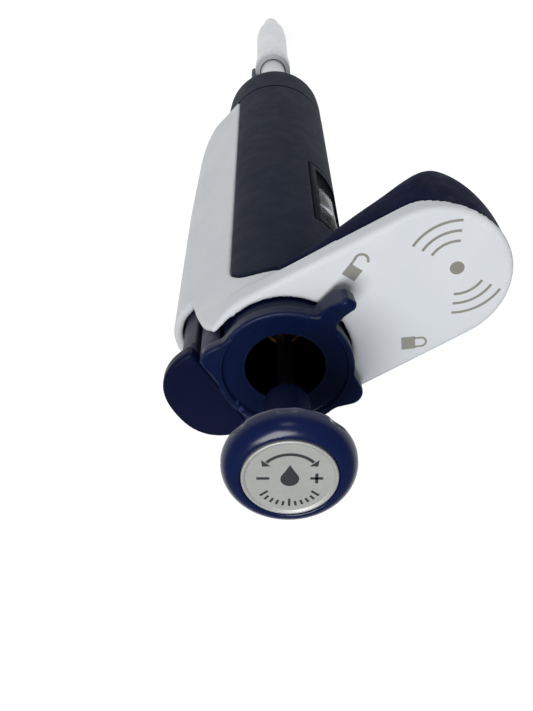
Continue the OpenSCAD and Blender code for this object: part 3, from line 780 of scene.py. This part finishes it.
# Name, field, lowest and highest corner, mesh step, body, material slot, CAD node
MOULDINGS = [
    ("body_shell_moulding", body_shell, (-REAR_REACH, -HOOK_SIDE, SPINE_Z),
     (HOOK_REACH, HOOK_SIDE, HOOK_Z), 0.45, "handle", "white_shell", "body_shell"),
    ("grip_panel_skin", grip_panel, (-5, -GRIP_R, PANEL_LOW),
     (GRIP_R, GRIP_R, PANEL_TOP), 0.5, "handle", "grip", "grip_panel"),
    ("end_cap_moulding", end_cap, (-GRIP_R, -GRIP_R, CAP_END),
     (GRIP_R, GRIP_R, SPINE_Z + 6), 0.4, "handle", "grip", "end_cap"),
    ("hook_cover_moulding", hook_cover, (5, -HOOK_SIDE, PLATE_Z - 19),
     (HOOK_REACH, HOOK_SIDE, PLATE_Z + TIP_RISE), 0.35, "handle", "hook_navy", "hook_cover"),
    ("lock_ring_moulding", lock_ring, (-13.3, -13.3, HOOK_Z - 17.2),
     (17, 13.3, HOOK_Z + 7.5), 0.3, "lock", "royal_blue", "lock_ring"),
    ("plunger_button_moulding", plunger_button, (-KNOB_R, -KNOB_R, KNOB_Z),
     (KNOB_R, KNOB_R, TOTAL), 0.25, "plunger", "royal_blue", "plunger_button"),
    ("ejector_pad_moulding", ejector_button, (PAD_FRONT - 9.35, -PAD_HALF, PAD_LOW),
     (PAD_FRONT + 0.05, PAD_HALF, PAD_TOP), 0.25, "ejector", "pad_navy", "ejector_button"),
    ("ejector_arm_moulding", ejector_arm, (-21, -9, 49),
     (-4.5, 9, PAD_LOW), 0.35, "ejector", "arm_grey", "ejector_arm"),
]


def build_mouldings():
    coarser = 1
    for name, field, lowest, highest, step, body, slot, node in MOULDINGS:
        made = solid(name, field, lowest, highest, step * coarser)
        piece(made, body, slot, [node], MATERIALS["ring_blue"] if node == "lock_ring" else None)


def build_turned():
    """Round pieces made on the axis."""
    profile = [(0, TOTAL - LABEL_RECESS), (LABEL_R, TOTAL - LABEL_RECESS), (LABEL_R, TOTAL - 0.12),
               (LABEL_R - 0.12, TOTAL), (LABEL_R - 0.36, TOTAL), (LABEL_R - 0.62, TOTAL - 0.2),
               (0, TOTAL - 0.16)]
    made = lathe("button_label_disc", rounded(profile, 0.06))
    piece(made, "plunger", "label_silver", ["button_label"])
    profile = ([(0, STEM_Z)] + arc(STEM_R - 2.4, STEM_Z + 2.4, 2.4, -90, 0, 12)
               + [(STEM_R, KNOB_Z), (2.4, KNOB_Z), (2.4, KNOB_Z + 2.6), (0, KNOB_Z + 2.6)])
    made = lathe("plunger_stem_moulding", profile)
    piece(made, "plunger", "royal_blue", ["plunger_stem"], MATERIALS["stem_blue"])
    pitch, crest = 0.5, 0.22
    turns = int((SCREW_TOP - 1.2 - SCREW_LOW - 4) / pitch)
    profile = [(1.55, SCREW_LOW), (SCREW_R, SCREW_LOW), (SCREW_R, SCREW_LOW + 3.4)]
    for i in range(turns):
        z = SCREW_LOW + 3.6 + i * pitch
        profile += [(SCREW_R - crest, z), (SCREW_R, z + 0.22), (SCREW_R, z + 0.3)]
    profile += [(SCREW_R, SCREW_TOP - 0.7), (SCREW_R - 0.25, SCREW_TOP), (2.5, SCREW_TOP),
                (1.55, SCREW_TOP - 1)]
    made = lathe("volume_screw_thread", profile, 64)
    piece(made, "volume_screw", "brass", ["volume_screw"])


def digit_points(text, height):
    """Faces of one printed digit, centred, as lists of (x, y) points and index lists."""
    curve = bpy.data.curves.new("digit", "FONT")
    curve.body = text
    curve.size = height * 1.4 * MM
    curve.align_x = "CENTER"
    curve.align_y = "CENTER"
    curve.resolution_u = 3
    holder = placed("digit", curve)
    bpy.context.view_layer.update()
    graph = bpy.context.evaluated_depsgraph_get()
    mesh = bpy.data.meshes.new_from_object(holder.evaluated_get(graph))
    points = [(v.co.x / MM, v.co.y / MM) for v in mesh.vertices]
    faces = [list(p.vertices) for p in mesh.polygons]
    bpy.data.objects.remove(holder)
    bpy.data.meshes.remove(mesh)
    bpy.data.curves.remove(curve)
    return points, faces


def drum_print(name, z, first, height):
    """Printed digits round a drum; the digit that faces the window at rest is first."""
    work = bmesh.new()
    for k in range(10):
        points, faces = digit_points(str((first - k) % 10), height)
        centre = math.radians(36 * k)
        shells = []
        for r in (DRUM_R - 0.02, DRUM_R + 0.03):
            shells.append([work.verts.new((r * math.cos(centre + x / DRUM_R) * MM,
                                           r * math.sin(centre + x / DRUM_R) * MM, (z + y) * MM))
                           for x, y in points])
        for face in faces:
            work.faces.new([shells[1][i] for i in face])
            work.faces.new([shells[0][i] for i in reversed(face)])
        for edge in {frozenset((f[i - 1], f[i])) for f in faces for i in range(len(f))}:
            a, b = tuple(edge)
            uses = [f for f in faces if a in f and b in f]
            if len(uses) == 1:
                work.faces.new([shells[0][a], shells[0][b], shells[1][b], shells[1][a]])
    return finished(name, work)


# CAD node, body, digit that faces the window at rest, height of the drum's gear
DRUMS = [("units_drum", "drive", 0, 0), ("tens_drum", "tens", 0, 2.4),
         ("hundreds_drum", "hundreds", 3, 2.4)]


def build_counter():
    for node, body, first, gear in DRUMS:
        z = (low(node)[2] + gear + high(node)[2]) / 2
        piece(drum_print(node + "_digits", z, first, 3.3), body, "drum_black", material=INK_PALE)


# ---------------------------------------------------------------- printed marks
def turned(points, angle, x, y):
    c, s = math.cos(math.radians(angle)), math.sin(math.radians(angle))
    return [(x + px * c - py * s, y + px * s + py * c) for px, py in points]


def band(cx, cy, r, thickness, start, end, count):
    """Outline of an arc drawn with a pen of some thickness."""
    return (arc(cx, cy, r + thickness / 2, start, end, count)
            + arc(cx, cy, r - thickness / 2, end, start, count))


def rectangle(left, right, bottom, top):
    return [(left, bottom), (right, bottom), (right, top), (left, top)]


def padlock(angle, radius, open_shackle):
    """Outlines of a plain padlock symbol whose shackle points away from the axis."""
    body = rectangle(-1.1, 1.05, -1.15, 1.15)
    if open_shackle:
        bow = band(2.35, 0.05, 1.0, 0.4, -75, 110, 24)
        legs = [[(1.0, 0.75), (2.06, 0.8), (2.06, 1.18), (1.0, 1.13)]]
    else:
        bow = band(1.95, 0, 0.8, 0.34, -90, 90, 20)
        legs = [rectangle(1.0, 1.96, side * 0.8 - 0.17, side * 0.8 + 0.17) for side in (-1, 1)]
    a = math.radians(angle)
    return [turned(o, angle, radius * math.cos(a), radius * math.sin(a)) for o in [body, bow] + legs]


def button_marks():
    """Plain symbols for the button: a drop, a two-way arrow with minus and plus, and a scale of ticks."""
    drop = arc(0, -0.1, 1.25, 150, 390, 20) + [(0.62, 1.25), (0, 2.35), (-0.62, 1.25)]
    arrow_r, head = 4.15, 0.75
    marks = [drop, band(0, 0, arrow_r, 0.42, 42, 138, 24)]
    for side in (-1, 1):
        a = math.radians(90 - side * 50)
        c, s = math.cos(a), math.sin(a)
        tip = (arrow_r * c + side * head * s, arrow_r * s - head * abs(c))
        marks.append([tip, (4.95 * c, 4.95 * s), (3.35 * c, 3.35 * s)])
        marks.append(rectangle(side * 3.55 - 0.85, side * 3.55 + 0.85, -0.2, 0.2))
    marks.append(rectangle(3.35, 3.75, -0.85, 0.85))
    for k in range(11):
        a = math.radians(218 + 10.4 * k)
        c, s = math.cos(a), math.sin(a)
        inner, outer, half = (3.7 if k % 5 == 0 else 4.2), 5.0, 0.16
        marks.append([(r * c - w * s, r * s + w * c) for r, w in
                      ((inner, -half), (outer, -half), (outer, half), (inner, half))])
    return [turned(mark, -32, 0, 0) for mark in marks]


def tag_arcs():
    """Three pairs of arcs round a dot, over the tag in the hook."""
    arcs = [band(TAG_PRINT_X, 0, r, 0.42, side * 90 - 31, side * 90 + 31, 28)
            for r in (4.5, 6.15, 7.8) for side in (-1, 1)]
    return arcs + [arc(TAG_PRINT_X, 0, 1.1, 0, 345, 23)]


def build_prints():
    for name, outlines in (("padlock_open_print", padlock(LEVER_ANGLE, 18.0, True)),
                           ("padlock_closed_print", padlock(-LEVER_ANGLE, 19.6, False)),
                           ("tag_arcs_print", tag_arcs())):
        made = prism(name, outlines, HOOK_Z - 0.05, HOOK_Z + 0.02)
        piece(made, "handle", "white_shell", material=INK)
    made = prism("button_marks_print", button_marks(), TOTAL - 0.2, TOTAL - 0.14)
    piece(made, "plunger", "label_silver", material=INK_DARK)


# ---------------------------------------------------------------- springs
def coil(name, mean_r, wire_r, bottom, top, turns, centre_x=0.0):
    """Compression spring of round wire with closed ends."""
    steps, sides = int(turns * 28), 10
    points, faces = [], []
    for i in range(steps + 1):
        t = i / steps
        a = 2 * math.pi * turns * t
        z = bottom + wire_r + (top - bottom - 2 * wire_r) * float(ease(t) * 0.25 + t * 0.75)
        for k in range(sides):
            b = 2 * math.pi * k / sides
            r = mean_r + wire_r * math.cos(b)
            points.append((centre_x + r * math.cos(a), r * math.sin(a), z + wire_r * math.sin(b)))
    for i in range(steps):
        for k in range(sides):
            m = (k + 1) % sides
            faces.append((i * sides + k, (i + 1) * sides + k, (i + 1) * sides + m, i * sides + m))
    faces.append(tuple(range(sides)))
    faces.append(tuple(reversed(range(steps * sides, (steps + 1) * sides))))
    made = mesh_object(name, points, faces)
    clean(made)
    return made


# CAD node, joint that shortens it and by how much, radius of the coil and of the wire, turns, place
SPRINGS = [("piston_spring", "plunger_press", 15.5, 3.9, 0.45, 7, 0),
           ("blowout_spring", "blowout_travel", 2.5, 6.3, 0.6, 3, 0),
           ("ejector_spring", "ejector_press", 7.5, 1.35, 0.25, 8, PIN_X)]


def build_springs():
    for node, joint, stroke, mean_r, wire_r, turns, x in SPRINGS:
        bottom, top = low(node)[2], high(node)[2]
        made = coil(node + "_wire", mean_r, wire_r, bottom, top, turns, x)
        piece(made, "handle", "spring_steel", [node])
        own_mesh(made)


def finish_cad_nodes():
    """Gives the CAD nodes that stay their material and a small chamfer along their edges."""
    slots = {row["node"]: row["material_slot"] for row in frame["record"]["subparts"]}
    for node, thing in frame["nodes"].items():
        thing.data.materials.clear()
        thing.data.materials.append(MATERIALS[slots[node]])
        if thing.hide_render:
            continue
        weld = thing.modifiers.new("weld", "WELD")
        weld.merge_threshold = 0.001 * MM
        bevel = thing.modifiers.new("bevel", "BEVEL")
        bevel.width = 0.12 * MM
        bevel.segments = 2
        bevel.limit_method = "ANGLE"
        bevel.angle_limit = math.radians(38)
        bevel.harden_normals = True


# ---------------------------------------------------------------- floor, light and camera
def plane(name, size, z):
    mesh = bpy.data.meshes.new(name)
    corners = [(x, y, z) for x, y in rectangle(-size / 2, size / 2, -size / 2, size / 2)]
    mesh.from_pydata(corners, [], [(0, 1, 2, 3)])
    made = placed(name, mesh)
    return made


def soft_light(name, place, target, size, power):
    light = bpy.data.lights.new(name, "AREA")
    light.shape = "RECTANGLE"
    light.size, light.size_y = size
    light.energy = power
    made = placed(name, light)
    made.location = place
    made.rotation_mode = "QUATERNION"
    made.rotation_quaternion = (Vector(target) - Vector(place)).to_track_quat("-Z", "Y")


# Metres: the middle of the object, the floor, and each light's place, size and power
MIDDLE = (0.005, 0, 0.19)
FLOOR_SIZE, FLOOR_Z = 6.0, -0.0005
KEY = ((-0.06, 0.12, 0.80), (0.34, 0.26), 3.4)
GLINT = ((0.27, 0.48, 0.58), (0.12, 0.12), 0.2)


def build_stage():
    """Pale floor that glows near the object, a large soft light overhead and a small one in front."""
    floor = plane("floor", FLOOR_SIZE, FLOOR_Z)
    paint = Paint("floor_white", (0.35, 0.35, 0.35, 1), 0.9, Specular_IOR_Level=0.0)
    away = paint.add("ShaderNodeVectorMath", {0: paint.place}, operation="LENGTH").outputs["Value"]
    paint.set("Emission Strength", paint.spread(away, 0.55, 1.3, 0.86, 0.45))
    paint.shader.inputs["Emission Color"].default_value = (1, 1, 1, 1)
    floor.data.materials.append(paint.material)
    for name, (place, size, power) in (("key", KEY), ("glint", GLINT)):
        soft_light(name, place, MIDDLE, size, power)
    world = bpy.data.worlds.new("studio")
    bpy.context.scene.world = world
    world.use_nodes = True
    backdrop = world.node_tree.nodes["Background"]
    backdrop.inputs["Color"].default_value = (0.93, 0.96, 1, 1)
    backdrop.inputs["Strength"].default_value = 0.18
    bpy.context.scene.view_settings.view_transform = "Standard"


# A wide lens close above the button, looking down on the hook
CAMERA_PLACE = (0.03745, 0.06744, 0.31810)
CAMERA_TURN = (-34.872, -0.359, -31.703)
SENSOR, LENS, NEAREST = 36, 42.94, 0.005


def build_camera():
    data = bpy.data.cameras.new("camera")
    data.sensor_width = SENSOR
    data.lens = LENS
    data.clip_start = NEAREST
    made = placed("camera", data)
    made.location = CAMERA_PLACE
    made.rotation_euler = [math.radians(angle) for angle in CAMERA_TURN]
    bpy.context.scene.camera = made


build_camera()
build_stage()
build_mouldings()
build_turned()
build_counter()
build_prints()
build_springs()
finish_cad_nodes()
